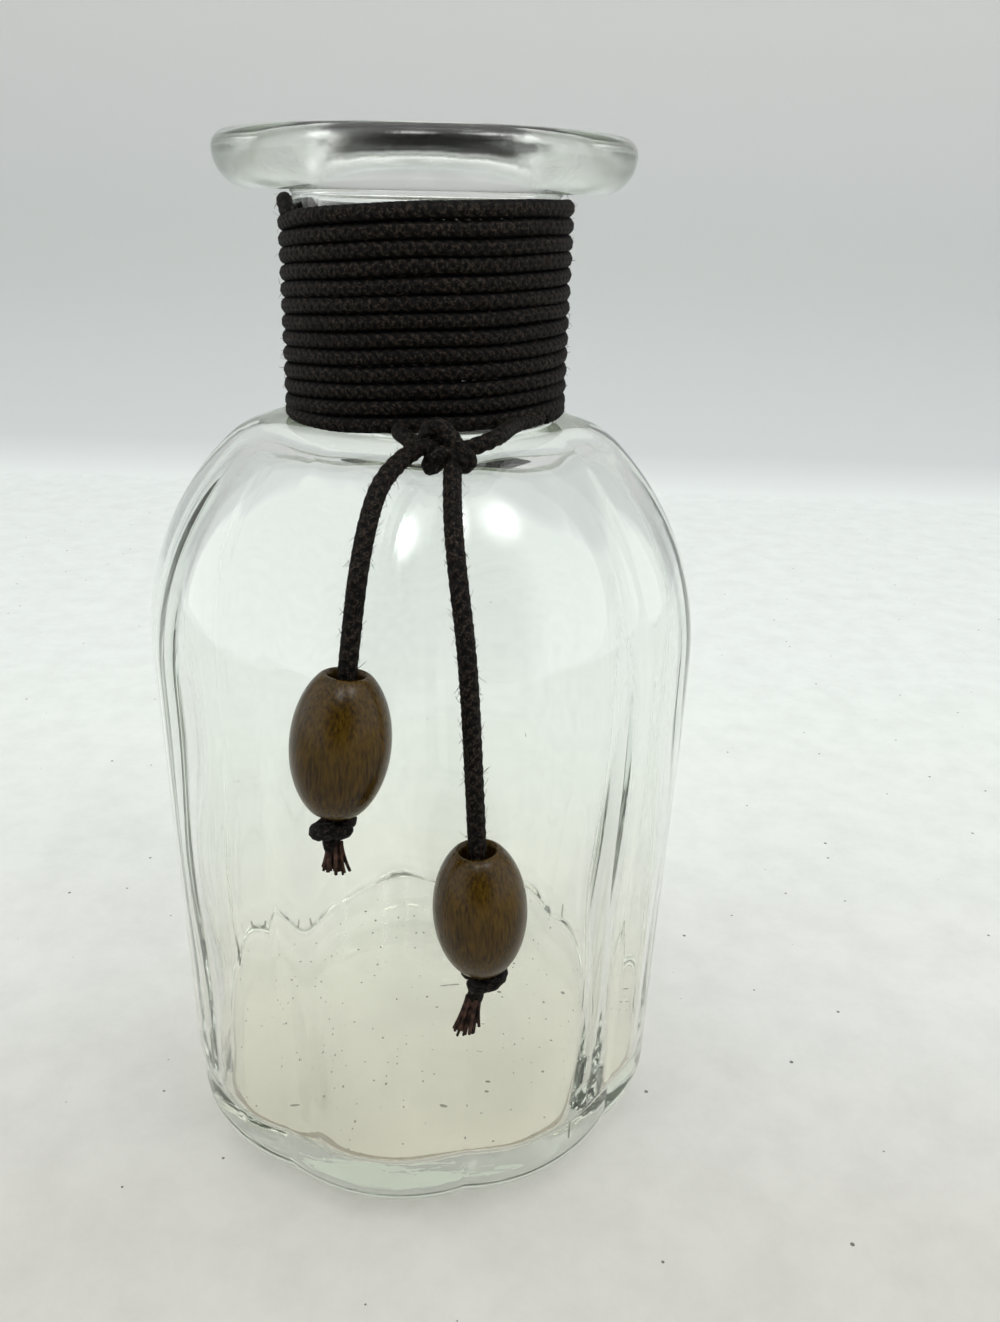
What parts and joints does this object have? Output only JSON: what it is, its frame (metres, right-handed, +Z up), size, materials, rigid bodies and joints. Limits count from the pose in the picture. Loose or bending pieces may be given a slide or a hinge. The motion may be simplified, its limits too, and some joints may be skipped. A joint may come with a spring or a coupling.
{
  "type": "bottle",
  "caption": "Clear fluted glass bottle with a wide rounded lip, a cord wound round its straight neck, and a wooden bead on each free end of the cord.",
  "frame": {"origin": "centre of the base, on the surface that the bottle stands on", "axes": "+Z up along the bottle's axis, -Y towards the front, where the cord is tied, +X to the right of someone facing the front"},
  "size_m": [0.0862, 0.0989, 0.1576],
  "materials": {
    "glass": "clear, smooth",
    "waxed_cord": "braided, waxed",
    "bead_wood": "satin varnish"
  },
  "bodies": {
    "bottle": {"glass_bottle": "glass", "neck_winding": "waxed_cord", "left_strand": "waxed_cord", "right_strand": "waxed_cord", "tie_knot": "waxed_cord"},
    "left_tail": {"left_tail": "waxed_cord", "left_stop_knot": "waxed_cord", "left_frayed_end": "waxed_cord"},
    "right_tail": {"right_tail": "waxed_cord", "right_stop_knot": "waxed_cord", "right_frayed_end": "waxed_cord"},
    "left_bead": {"left_bead": "bead_wood"},
    "right_bead": {"right_bead": "bead_wood"}
  },
  "joints": [
    {"name": "left_tail_swing", "type": "hinge", "parent": "bottle", "child": "left_tail", "pos_m": [0.0012, -0.03118, 0.11972], "axis": [0, 1, 0], "range_deg": [0, 35]},
    {"name": "right_tail_swing", "type": "hinge", "parent": "bottle", "child": "right_tail", "pos_m": [0.0058, -0.03238, 0.11812], "axis": [0, -1, 0], "range_deg": [0, 35]},
    {"name": "left_bead_slide", "type": "slide", "parent": "left_tail", "child": "left_bead", "axis": [0.0917, 0.0827, 0.9923], "range_m": [0, 0.006]},
    {"name": "right_bead_slide", "type": "slide", "parent": "right_tail", "child": "right_bead", "axis": [-0.061, 0.0041, 0.9981], "range_m": [0, 0.006]}
  ]
}
